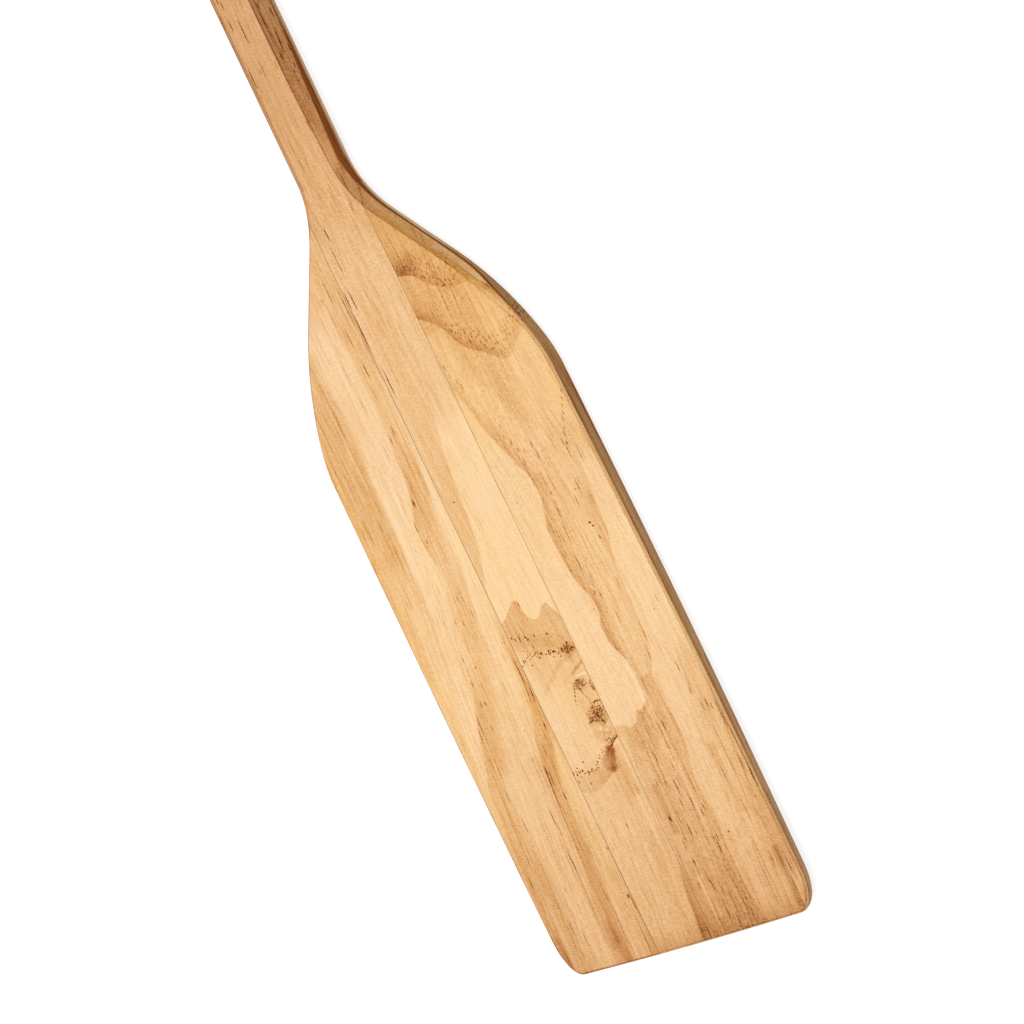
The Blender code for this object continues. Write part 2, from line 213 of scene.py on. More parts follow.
class Graph:
    """The node tree of a new material or world, built up one calculation at a time."""

    def __init__(self, owner):
        owner.use_nodes = True
        self.owner = owner
        self.tree = owner.node_tree
        self.tree.nodes.clear()

    def node(self, kind, **settings):
        node = self.tree.nodes.new("ShaderNode" + kind)
        for key, value in settings.items():
            setattr(node, key, value)
        return node

    def feed(self, socket, value):
        if isinstance(value, Term):
            self.tree.links.new(value.socket, socket)
        else:
            socket.default_value = value

    def fill(self, node, values):
        """Feeds a node's inputs from a dictionary of their names or numbers."""
        for name, value in values.items():
            self.feed(node.inputs[name], value)

    def result(self, node, values, output=0):
        """Feeds a node's first inputs in their order, and returns one of its outputs."""
        for socket, value in zip(node.inputs, values):
            self.feed(socket, value)
        return Term(self, node.outputs[output])

    def math(self, operation, *values, clamp=False):
        return self.result(self.node("Math", operation=operation, use_clamp=clamp), values)

    def vector_math(self, operation, *values, output=0):
        return self.result(self.node("VectorMath", operation=operation), values, output)

    def most(self, terms):
        """The largest of several terms."""
        largest = terms[0]
        for term in terms[1:]:
            largest = self.math("MAXIMUM", largest, term)
        return largest

    def blend(self, first, second, share):
        """The first term where the share is 0, and the second where it is 1."""
        return first + (second - first) * share

    def ease(self, value, start, end, straight=False):
        """0 before start and 1 after end, with a soft or a straight rise between them."""
        node = self.node("MapRange", interpolation_type="LINEAR" if straight else "SMOOTHSTEP")
        return self.result(node, (value, start, end))

    def curve(self, value, points):
        """A smooth curve through (value, result) points, level beyond its ends."""
        points = sorted(points)
        first = points[0][0]
        span = points[-1][0] - first
        low = min(result for _, result in points)
        rise = max(result for _, result in points) - low
        node = self.node("FloatCurve")
        share = self.math("MULTIPLY_ADD", value, 1 / span, -first / span, clamp=True)
        self.feed(node.inputs["Value"], share)
        line = node.mapping.curves[0]
        line.points[0].location = (0.0, (points[0][1] - low) / rise)
        line.points[1].location = (1.0, (points[-1][1] - low) / rise)
        for place, result in points[1:-1]:
            line.points.new((place - first) / span, (result - low) / rise)
        for point in line.points:
            point.handle_type = "AUTO_CLAMPED"
        node.mapping.update()
        return self.math("MULTIPLY_ADD", Term(self, node.outputs[0]), rise, low)

    def combine(self, *values):
        return self.result(self.node("CombineXYZ"), values)

    def in_mm(self, place):
        """The place that a socket gives in metres, in mm."""
        return self.vector_math("MULTIPLY", Term(self, place), [1 / MM] * 3)

    def split(self, vector):
        node = self.node("SeparateXYZ")
        self.feed(node.inputs[0], vector)
        return [Term(self, socket) for socket in node.outputs]

    def noise(self, place, size, seed, detail=2.0, roughness=0.5):
        """Smooth noise from 0 to 1 whose lumps have the given size, in mm."""
        sizes = [1 / side for side in size]
        scaled = self.vector_math("MULTIPLY_ADD", place, sizes, [seed * shift for shift in SEED_SHIFT])
        node = self.node("TexNoise")
        self.fill(node, {"Vector": scaled, "Scale": 1.0, "Detail": detail, "Roughness": roughness})
        return Term(self, node.outputs[0])

    def cells(self, place, size, seed):
        """The distance to the nearest of many scattered points, one to a cell of the given size, in mm."""
        across, along = size
        offset = (seed * SEED_SHIFT[0], seed * SEED_SHIFT[1], 0.0)
        scaled = self.vector_math("MULTIPLY_ADD", place, (1 / across, 1 / along, 0.0), offset)
        node = self.node("TexVoronoi", voronoi_dimensions="2D")
        self.fill(node, {"Vector": scaled, "Scale": 1.0})
        return Term(self, node.outputs["Distance"])

    def spots(self, place, centres):
        """How far inside the nearest of the given (x, y, half width, half length) spots, from 0 to 1."""
        nearest = None
        for x, y, wide, long in centres:
            offset = (-x / wide, -y / long, 0.0)
            shifted = self.vector_math("MULTIPLY_ADD", place, (1 / wide, 1 / long, 0.0), offset)
            length = self.vector_math("LENGTH", shifted, output="Value")
            nearest = length if nearest is None else self.math("MINIMUM", nearest, length)
        return self.ease(nearest, SPOT_RIM, SPOT_CORE)

    def mix(self, first, second, share):
        """The first colour where the share is 0, and the second where it is 1."""
        node = self.node("Mix", data_type="RGBA")
        self.fill(node, dict(zip(MIX_INPUTS, (share, first, second))))
        return Term(self, node.outputs[MIX_RESULT])

    def show(self, shader, output="OutputMaterial"):
        """Makes the shader node the surface, and returns the material or world."""
        self.tree.links.new(shader.outputs[0], self.node(output).inputs["Surface"])
        return self.owner


class Pine(Graph):
    """Varnished pine. Its terms are in mm, in the paddle's own frame: x across, y along, z up."""

    def __init__(self, name, seed, drift):
        """The grain's streaks keep a constant x less the drift, a curve of (y, shift) points."""
        super().__init__(bpy.data.materials.new(name))
        self.seed = seed
        coordinates = self.node("TexCoord").outputs
        self.place = self.in_mm(coordinates["Object"])
        self.x, self.y, self.z = self.split(self.place)
        self.normal_y, self.normal_z = self.split(Term(self, coordinates["Normal"]))[1:]
        step = NECK_STEP * self.ease(self.y, NECK_Y, ROOT_Y)
        taper = TIP_TAPER * self.ease(self.y, ROOT_Y, TIP_Y, straight=True)
        self.depth = SHAFT_FACE - step - taper - self.z

        # Place in the figure of the rings, with frayed edges, and place in the grain, which also wavers
        fray = self.noise(self.place, FRAY_SIZE, seed + 1.3, detail=3.0) - 0.5
        crumb = self.noise(self.place, CRUMB_SIZE, seed + 3.2) - 0.5
        wave = self.noise(self.place, WAVE_SIZE, seed + 2.1, detail=1.0) - 0.5
        self.u = self.x + RING_LEAN * self.depth + 0.9 * fray
        self.v = self.y + 1.6 * fray + 1.2 * crumb
        across = self.u + 2.4 * wave
        if drift:
            across = across - self.by_y(drift)
        self.grain = self.combine(across, self.y, self.z)
        self.dots = self.combine(self.x + RING_LEAN * self.depth + 0.7 * crumb, self.y - 1.1 * crumb, 0.0)

        self.fibre = self.noise(self.grain, FIBRE_SIZE, seed + 4.4, detail=3.0, roughness=0.6)
        self.speck = self.noise(self.place, SPECK_SIZE, seed + 6.1, detail=1.0)
        slanted = self.combine(self.u, self.y + 0.3 * self.u, self.z)
        self.ripple = self.noise(slanted, RIPPLE_SIZE, seed + 6.8, detail=1.0)

    def by_y(self, points):
        """A smooth curve along the paddle, through (y, result) points."""
        return self.curve(self.y, points)

    def sloped(self, slopes):
        """From 0 at the first of a pair of slopes to 1 at the second."""
        return self.ease(self.normal_z, *slopes)

    def on_facet(self):
        """1 on the planed facets between the front face and the sides."""
        return self.sloped(ARRIS_START) * self.sloped(FACET_END)

    def right_of(self, points):
        """How far to the right of the line through (y, x) points."""
        return self.u - self.by_y(points)

    def above(self, points):
        """How far above the line through (x, y) points, towards the grip."""
        return self.v - self.curve(self.u, points)

    def beside(self, points, soft=0.5):
        """1 to the right of the line through (y, x) points, and 0 to its left."""
        return self.ease(self.right_of(points), -soft, soft)

    def below(self, points, soft=0.35):
        """1 below the line through (x, y) points, towards the tip, and 0 above it."""
        return self.ease(self.above(points), soft, -soft)

    def between(self, low, high, soft):
        """1 where y lies between two places, fading over the soft length outside each."""
        return self.ease(self.y, low - soft, low) * self.ease(self.y, high + soft, high)

    def line(self, distance, width):
        """1 where the distance is about 0, and 0 beyond the half width."""
        return self.ease(abs(distance), width, 0.25 * width)

    def stroke_along(self, points, width):
        """A thin line through (y, x) points, fading at its ends."""
        low, high = min(points)[0], max(points)[0]
        return self.line(self.right_of(points), width) * self.between(low + 1.0, high - 1.0, 2.0)

    def stroke_across(self, points, width):
        """A thin line through (x, y) points, fading at its ends."""
        low, high = min(points)[0], max(points)[0]
        ends = self.ease(self.u, low - 0.6, low + 0.6) * self.ease(self.u, high + 0.6, high - 0.6)
        return self.line(self.above(points), width) * ends

    def flecks(self, size, radius, seed):
        """Scattered small dark specks, one to a cell of the given size."""
        return self.ease(self.cells(self.dots, size, self.seed + seed), radius, 0.5 * radius)

    def edge_tones(self, face, chamfer, side, under, scraped=0.25):
        """The face's tone, with those of the chamfers, the sides and the rounded back edges put in. The
        chamfers' and sides' darker tones are in part painted shade on the steeper surfaces.
        """
        scrapes = self.noise(self.combine(0.0, self.y, self.depth), SCRAPE_SIZE, self.seed + 3.9) - 0.5
        tone = self.blend(face, chamfer + scraped * scrapes, self.sloped(CHAMFER_START))
        tone = self.blend(tone, side + 0.60 * scrapes, self.sloped(SIDE_START))
        tone = self.blend(tone, under, self.sloped(BACK_EDGE_START))
        tone = self.blend(tone, face, self.sloped(BACK_START))
        # A darker line along the face's edge, and painted shade along the crease where the facet turns down
        # into the side
        arris = self.sloped(ARRIS_START) * self.ease(self.depth, 0.60, 0.25)
        crease = self.sloped(CREASE_START) * self.sloped(CREASE_END)
        return tone + 0.14 * self.most([arris, crease])

    def painted_side_shade(self, shares, floors):
        """Painted shade on the upright side, with darker fibres in it, from (y, share) and (y, depth of the
        lower limit) points.
        """
        upright = self.sloped(SIDE_START) * self.sloped(SIDE_END)
        above_limit = self.ease(self.depth - self.by_y(floors), 0.25, -0.25)
        side_shade = upright * above_limit * self.by_y(shares)
        along = self.combine(0.0, self.y, self.depth + 0.02 * self.y)
        fibres = self.ease(self.noise(along, SIDE_SHADE_FIBRE_SIZE, self.seed + 8.8, detail=3.0), 0.42, 0.70)
        return [(SIDE_SHADE_PAINT, side_shade), (SIDE_SHADE_FIBRE, 0.85 * side_shade * fibres)]

    def grained(self, tone, streaks):
        """A tone with the grain's fibres, specks and ripples, and with its streaks where there are any."""
        streak = self.noise(self.grain, STREAK_SIZE, self.seed + 5.2) - 0.5
        band = self.noise(self.grain, BAND_SIZE, self.seed + 5.9) - 0.5
        threads = self.noise(self.grain, THREAD_SIZE, self.seed + 5.5, detail=1.0)
        thread = self.ease(threads, 0.58, 0.72) - 0.1
        figure = 0.58 * (self.fibre - 0.5) + 0.36 * streaks * streak + 0.18 * band
        figure = figure + 0.60 * (self.speck - 0.5) + 0.30 * (self.ripple - 0.5) + 0.14 * streaks * thread
        return tone + figure * (1.0 - 0.5 * self.ease(tone, 0.52, 0.78))

    def resin_ducts(self, streaks):
        """Fine dark dashes where the grain is streaky, in some stretches more than in others."""
        stretches = self.noise(self.grain, DUCT_STRETCH_SIZE, self.seed + 7.7, detail=1.0)
        ducts = self.ease(self.cells(self.grain, DUCT_CELL, self.seed + 8.2), 0.16, 0.08)
        return ducts * self.ease(stretches, 0.42, 0.60) * streaks

    def end_grain(self):
        """The tone of end grain, with its rings edge on."""
        rings = self.noise(self.combine(self.u, 0.0, 0.0), END_RING_SIZE, self.seed + 9.1, detail=1.0)
        return 0.70 + 0.5 * (rings - 0.5) + 0.4 * (self.speck - 0.5)

    def coloured(self, tone, warmth, stains_and_shade):
        """The colour of a tone and its warmth, with stains and painted shade over it."""
        ramp = self.node("ValToRGB")
        self.feed(ramp.inputs["Fac"], tone)
        elements = ramp.color_ramp.elements
        for index, (place, colour) in enumerate(PINE_RAMP):
            element = elements[index] if index < 2 else elements.new(place)
            element.position = place
            element.color = linear(colour, VARNISH_LIFT)
        hue = self.noise(self.grain, HUE_SIZE, self.seed + 9.6, detail=1.0)
        glint = self.noise(self.place, GLINT_SIZE, self.seed + 9.9, detail=1.0)
        warmth = warmth + 1.4 * (hue - 0.5) + 1.2 * (glint - 0.5)
        warm = self.combine(1.0, 1.0 - WARM_GREEN * warmth, 1.0 - WARM_BLUE * warmth)
        colour = self.vector_math("MULTIPLY", Term(self, ramp.outputs["Color"]), warm)
        for overlay_colour, share in stains_and_shade:
            colour = self.mix(colour, linear(overlay_colour, VARNISH_LIFT), share)
        return colour

    def finish(self, tone, streaks, warmth, marks=0.0, stains_and_shade=()):
        """The material of a tone, its warmth, marks, stains and painted shade, with grain, end grain, bump
        and varnish.
        """
        ducts = self.resin_ducts(streaks)
        end = self.ease(abs(self.normal_y), 0.60, 0.90)
        tone = self.blend(self.grained(tone, streaks) + 0.16 * ducts, self.end_grain(), end)
        tone = self.math("MINIMUM", tone + 0.80 * marks, 1.0)

        bump = self.node("Bump")
        height = 0.5 * self.fibre + 0.3 * self.ripple + 0.2 * self.speck - 0.9 * marks - 0.4 * ducts
        self.fill(bump, {"Strength": BUMP_STRENGTH, "Distance": BUMP_DEPTH, "Height": height})
        shader = self.node("BsdfPrincipled")
        self.fill(shader, {
            "Base Color": self.coloured(tone, warmth, stains_and_shade),
            "Normal": Term(self, bump.outputs["Normal"]),
            "Roughness": WOOD_ROUGHNESS + 0.14 * (self.fibre - 0.5) + 0.12 * marks + 0.15 * end,
            "Specular IOR Level": WOOD_SPECULAR,
            "Coat Weight": COAT_WEIGHT,
            "Coat Roughness": COAT_ROUGHNESS,
        })
        return self.show(shader)


def stave_pine():
    """The middle stave: straight grain down the shaft, then sapwood and a knot in the blade."""
    pine = Pine("stave_pine", 11, ((-610, -3), (-500, 2.5), (-420, 0.5), (-300, 0)))
    # The tone darkens from the blade up through the neck to the shaft: partly the wood, partly painted
    # shade where the light falls off towards the grip
    tone = pine.by_y((
        (-610, 0.74), (-602, 0.61), (-592, 0.5), (-560, 0.44), (-524, 0.36), (-470, 0.1), (-430, 0.34),
        (-330, 0.38), (-262, 0.38), (-215, 0.57), (-150, 0.66), (0, 0.66)))
    tone = tone - 0.05 * pine.ease(pine.x, -2, 3) * pine.between(-200, 0, 20)
    tone = tone + sapwood_edge(pine) + ring_patch(pine)
    wedge = pine.beside(((-608, 10), (-595, 11), (-585, 12), (-575, 14), (-563, 16.5)), 0.7)
    tone = tone + 0.21 * wedge * pine.ease(pine.y, -563, -575) * pine.ease(pine.y, -616, -596)
    beside_wedge = pine.stroke_along(((-612, 10), (-585, 11), (-550, 11.5)), 6.5)
    round_knot = pine.stroke_along(((-500, 9), (-485, 9.5), (-458, 9)), 11)
    shades = pine.spots(pine.place, (
        (-7, -455, 8, 20), (6, -523, 5, 17), (10, -500, 6, 5), (-1, -350, 4, 9)))
    tone = tone + 0.08 * beside_wedge + 0.15 * round_knot + 0.11 * shades
    knot_lines, knot_red, knot_tone = knot(pine)
    tone = tone + knot_tone

    chamfer = pine.by_y(((-240, 0.62), (-212, 0.74), (-190, 0.82), (-150, 0.83), (-110, 0.8), (-20, 0.73)))
    side = pine.by_y(((-610, 0.65), (-235, 0.45), (-205, 0.5), (-150, 0.72), (-120, 0.82), (-20, 0.74)))
    # The left chamfer is painted paler than the right, most on its shallow part and near the neck: painted
    # light
    on_left = pine.ease(pine.x, 0, -2)
    shallow = pine.ease(pine.depth, 2.8, 1.2)
    chamfer = chamfer - on_left * (0.10 * shallow + 0.08 * pine.ease(pine.y, -130, -175))
    # The rounded back edge on the right is painted paler up the neck and shaft: painted light from the
    # floor's bounce
    bounce_lit_back = pine.by_y(((-225, 0.68), (-190, 0.6), (-130, 0.4), (-60, 0)))
    tone = pine.edge_tones(tone, chamfer, side, 0.72 - bounce_lit_back * pine.ease(pine.x, 0, 2))
    # Painted shade on the upright sides up the neck, above a lower limit
    stains_and_shade = pine.painted_side_shade(
        ((-250, 0), (-235, 1), (-150, 1), (-120, 0)),
        ((-230, 8.4), (-215, 9.4), (-205, 10), (-190, 9.8), (-165, 9.2), (-150, 9.2)))

    warmth = pine.by_y(((-600, -0.6), (-540, -0.3), (-430, 0.3), (-300, 0), (-200, -0.8), (-110, -1.3)))
    pores = pine.spots(pine.dots, STAVE_PORES)
    ducts = pine.spots(pine.dots, STAVE_DUCTS)
    marks = pine.most([pores, 0.95 * ducts, pore_rows(pine), knot_lines])
    return pine.finish(tone, 0.95, warmth, marks, stains_and_shade + [(KNOT_RED, knot_red)])


def sapwood_edge(pine):
    """Sapwood to the right of a sharp boundary that slants across the stave, with darker wood beside it."""
    past_edge = pine.right_of((
        (-440, -19), (-430, -17), (-420, -15.8), (-412, -14.4), (-405, -12.4), (-395, -9.2), (-385, -7.5),
        (-372, -6), (-360, -5), (-345, -3), (-330, 0), (-310, 7), (-300, 15.8)))
    sapwood = pine.ease(past_edge, -0.6, 0.6) * pine.between(-432, -345, 34)
    rim = pine.ease(past_edge, 0, -1) * pine.ease(past_edge, -9, -4) * pine.between(-410, -350, 14)
    return 0.02 * rim - 0.27 * sapwood


def ring_patch(pine):
    """The patch of rings cut across their dome, above and round the knot."""
    top = pine.below((
        (-15.8, -432), (-12, -429.5), (-8, -426), (-4.5, -423.6), (-3, -424), (-1.8, -430), (-0.5, -433),
        (2, -435.6), (4, -435.6), (6.5, -433.5), (9, -431), (11, -430.4), (12.5, -432.5),
        (15.8, -438.8)), 0.3)
    faded = pine.below(((-15.8, -447), (-4, -447), (2, -453), (6, -457), (15.8, -459)), 5)
    tone = top * (0.10 + 0.29 * (1.0 - faded)) * pine.ease(pine.y, -515, -500)
    tone = tone + 0.12 * pine.spots(pine.place, ((0, -449, 10, 8),))
    end = pine.below((
        (-15.8, -522), (-12, -523.6), (-8, -524), (-5, -523), (0, -521), (5, -518.5), (8, -517.5),
        (15.8, -515.5)), 0.3)
    lower_rings = (0.15 + 0.12 * pine.ease(pine.x, -7, 0)) * pine.ease(pine.u, 11.5, 8.5)
    tone = tone + lower_rings * pine.ease(pine.y, -508, -517) * (1.0 - end)
    wide_arc = pine.stroke_across(((-12, -472), (-5, -467), (3, -461), (15.8, -456)), 2.2)
    thin_arc = pine.stroke_across(((2, -469.5), (8, -466.5), (12, -464.3), (15.8, -462.5)), 0.9)
    return tone + 0.12 * pine.most([wide_arc, thin_arc])


def pore_rows(pine):
    """Fine pores scattered along the edges of the ring patch."""
    rows = (
        (((-14, -453.5), (-6, -451.5), (0, -453), (5, -454.5), (15.8, -454)), 2.4),
        (((-15.8, -511.5), (-10, -513.5), (-4, -513.8), (0, -510.8), (3, -508), (8, -505.5)), 2.2),
        (((5, -492), (10, -489), (15.8, -486)), 3.2),
    )
    near = pine.most([pine.stroke_across(points, width) for points, width in rows])
    return 0.85 * near * pine.flecks((1.35, 1.9), 0.33, 2.7)


def knot(pine):
    """The knot's dark lines, its red wood and the change of tone round it."""
    eyes = pine.most([pine.spots(pine.dots, KNOT_EYES), 0.4 * pine.spots(pine.dots, KNOT_SMUDGES)])
    crinkled = pine.noise(pine.dots, (3, 1.4, 1), 17.3, detail=1)
    crinkles = pine.ease(abs(crinkled - 0.5), 0.045, 0.010) * eyes
    flecks = pine.flecks((1.4, 1.2), 0.34, 5.5) * eyes
    breaks = pine.ease(pine.noise(pine.dots, (1.3, 1.3, 1), 19.1, detail=1), 0.4, 0.54)
    lines = [pine.stroke_across(points, width) for points, width in KNOT_STROKES_ACROSS]
    lines += [pine.stroke_along(points, width) for points, width in KNOT_STROKES_ALONG]

    over_scar = pine.above(((0, -512), (3, -509.6), (6, -507.2), (8, -505.2), (10, -505.4), (12, -508)))
    under_scar = pine.above((
        (0, -513.2), (2, -515.2), (5, -517.4), (7.6, -517), (8.8, -513.5), (11, -508.8), (12, -508)))
    scar = pine.ease(over_scar, 0.8, -0.8) * pine.ease(under_scar, -1.2, 1.2)
    scar = scar * pine.ease(pine.u, -1, 5) * pine.ease(pine.u, 12, 10.5)
    slanting = pine.combine(pine.x - 0.45 * pine.y, pine.y, 0)
    fibres = pine.ease(pine.noise(slanting, (0.9, 6, 1), 15.7), 0.3, 0.62)
    core = scar * pine.spots(pine.dots, ((8.4, -508, 2.8, 3),))
    root = pine.stroke_across(((7.5, -507.2), (10, -505.8), (12, -504.3), (15.8, -502)), 1.05)
    twig = pine.stroke_across(((9, -504.6), (12, -503.2), (15.8, -500.6)), 0.5)
    rim = pine.stroke_across(((7.5, -467.6), (11, -465.2), (15.8, -463.4)), 1.3)
    trail = pine.stroke_along(((-532, 12), (-520, 11.5), (-506, 11.5)), 4.4)
    glow = pine.spots(pine.dots, KNOT_GLOWS)
    pale = pine.spots(pine.dots, KNOT_PALE_SPOTS)
    dark = pine.most([0.9 * pine.most(lines) * breaks, 0.85 * crinkles, 0.9 * flecks])
    dark = pine.most([dark, 0.26 * core * fibres, 0.80 * root, 0.55 * twig])
    scar_red = scar * (0.12 + 0.38 * fibres) + 0.24 * core
    red = pine.most([0.80 * pine.spots(pine.dots, KNOT_RED_SPOTS), scar_red, 0.22 * eyes])
    tone = 0.18 * glow + 0.10 * eyes + 0.14 * trail + 0.24 * rim
    tone = tone + scar * (0.14 + 0.14 * fibres) - 0.30 * pale
    return dark, red, tone


# Pores and ducts in the stave, as (x, y, half width, half length)
STAVE_PORES = (
    (-14, -440, 0.3, 1.2), (-12.5, -441.5, 0.3, 1.2), (-10, -441.5, 0.3, 2.2), (-7, -442, 0.35, 0.9),
    (-6, -443.5, 0.4, 0.8), (-2, -443, 0.45, 0.7), (5, -444.5, 0.5, 0.7), (-5, -448, 0.28, 1.8),
    (-11, -448, 0.35, 0.4), (-9, -448.6, 0.35, 0.4), (-15.2, -454.5, 0.45, 0.7), (-13.5, -453, 0.4, 1.6),
    (-10, -451, 0.3, 0.6), (-6, -451.2, 0.4, 0.7), (-3, -452, 0.5, 0.7), (-4.5, -453.8, 0.62, 0.62),
    (0, -453.6, 0.4, 0.4), (1.6, -452.5, 0.62, 0.62), (4.1, -453.5, 0.7, 0.75), (3, -456, 0.4, 0.4),
    (6.5, -457, 0.62, 0.62), (12.6, -452, 0.7, 0.85), (-10, -456, 0.45, 0.6), (8.5, -454.5, 0.62, 0.62),
    (11, -456.5, 0.6, 0.5), (14, -455, 0.62, 0.62), (-15.5, -512.5, 0.46, 1), (-13.8, -513.5, 0.55, 0.8),
    (-12.4, -510.3, 0.45, 0.6), (-10.2, -512.3, 0.55, 1), (-7.8, -508.6, 0.65, 0.5), (-7.5, -514, 0.5, 0.5),
    (-12.5, -515, 0.3, 0.6), (-14.6, -517, 0.3, 1.2), (-9, -519.5, 0.38, 0.9), (-4.3, -514, 0.35, 0.4),
    (-1.5, -512, 0.35, 0.5), (-0.8, -510.9, 0.35, 0.4),
)
STAVE_DUCTS = (
    (-9.4, -225, 0.34, 5), (-10.6, -240, 0.22, 12), (-12.2, -259, 0.3, 7), (-15, -258, 0.32, 6),
    (-15.3, -275, 0.34, 13), (-13.8, -302, 0.34, 9.5), (-10, -368.3, 0.9, 0.35), (-2.2, -426, 0.32, 2.2),
    (-1, -544.5, 0.3, 1.6), (-2, -121, 0.3, 7.5), (-7, -114.5, 0.28, 4), (-8.6, -142.5, 0.3, 5.5),
    (-6.5, -104, 0.25, 3), (-8, -101, 0.3, 2), (-3, -141.5, 0.2, 1.6), (6.3, -143, 0.2, 2.5),
    (-10.9, -110, 0.35, 4), (11.2, -113.8, 0.3, 1.8), (13.5, -131, 0.32, 5), (11.1, -140.5, 0.34, 2.2),
    (16, -118, 0.28, 2.4), (16.5, -137.5, 0.28, 2.4), (15.2, -146.5, 0.26, 1.6), (13.8, -149.5, 0.26, 1.4),
    (15.6, -190, 0.45, 1.2), (17.2, -187, 0.4, 0.8),
)

# Lines of the knot as ((x, y) points, half width), then as ((y, x) points, half width)
KNOT_STROKES_ACROSS = (
    (((5.4, -473.6), (7, -471.6), (9.5, -470.6), (12.2, -471.4)), 0.6),
    (((9.4, -486.2), (10.5, -484.4), (12.5, -483.3), (15.8, -483)), 0.75),
    (((4, -492.4), (7, -491.2), (10.5, -489.2), (13, -488.2), (15.8, -487.4)), 0.6),
    (((10.8, -491.2), (13, -490.2), (15.8, -489.6)), 0.5),
    (((8.8, -503.2), (10.5, -501.8), (12.2, -503)), 0.5),
)
KNOT_STROKES_ALONG = (
    (((-484.5, 10.2), (-481, 10), (-477, 8.4), (-473, 7.5)), 0.45),
    (((-496, 13.5), (-491, 11.3), (-488, 10), (-485, 9)), 0.75),
    (((-482, 2.9), (-479, 3.4), (-476, 4.6), (-473.5, 5.8)), 0.45),
    (((-478, 15.2), (-475, 14.4), (-472.5, 15.4)), 0.45),
)
KNOT_EYES = ((11, -489.5, 6.5, 6), (9.5, -473, 4.5, 3.5), (15.2, -475.5, 1.8, 3.5))
KNOT_SMUDGES = ((11.5, -455, 5.5, 2.4),)
KNOT_RED_SPOTS = ((9.4, -472.2, 2.4, 1.6), (8, -506.2, 1.9, 1.8))
KNOT_GLOWS = ((10, -501.5, 4.5, 3.6), (12, -455, 6, 4), (8.5, -510, 3, 4))
KNOT_PALE_SPOTS = (
    (9, -496.4, 1.1, 1.1), (11.8, -498, 1.4, 1.3), (8.2, -499.2, 1, 1), (13.4, -495.6, 0.9, 1),
    (10.6, -500.2, 1, 0.7), (12, -468.6, 3.6, 0.8),
)


def left_wing_pine():
    """The left board of the blade: lengthwise bands that bend towards its outer edge."""
    pine = Pine("left_wing_pine", 23, ((-610, -17), (-520, -12), (-450, -7), (-340, 0), (-215, 0)))
    tone = pine.by_y((
        (-610, 0.58), (-596, 0.5), (-560, 0.45), (-520, 0.32), (-470, 0.22), (-440, 0.18), (-390, 0.11),
        (-330, 0.2), (-290, 0.2), (-250, 0.38), (-215, 0.46)))
    band_tone, streaky = left_bands(pine)
    chamfer = pine.by_y((
        (-600, 0.78), (-420, 0.8), (-380, 0.72), (-340, 0.5), (-318, 0.55), (-290, 0.78), (-240, 0.8)))
    tone = pine.edge_tones(tone + band_tone, chamfer, 0.72, 0.7)
    warmth = pine.by_y(((-600, -0.7), (-540, -0.3), (-440, 0.1), (-300, -0.4), (-240, -0.1)))
    by_stave = 0.5 * pine.ease(pine.x, -24, -19)
    by_edge = 0.5 * pine.ease(pine.x, -62, -66)
    warmth = warmth + 0.7 * streaky + by_edge + by_stave * pine.ease(pine.y, -340, -440)
    marks = 0.62 * pine.spots(pine.dots, LEFT_WING_DUCTS)
    # Painted shade on the upright side at the shoulder, above a lower limit
    stains_and_shade = pine.painted_side_shade(
        ((-300, 0), (-262, 0.7), (-235, 1)),
        ((-300, 3.3), (-270, 6.4), (-240, 8), (-215, 9.6)))
    return pine.finish(tone, 1.35 + 0.35 * streaky, warmth, marks, stains_and_shade)


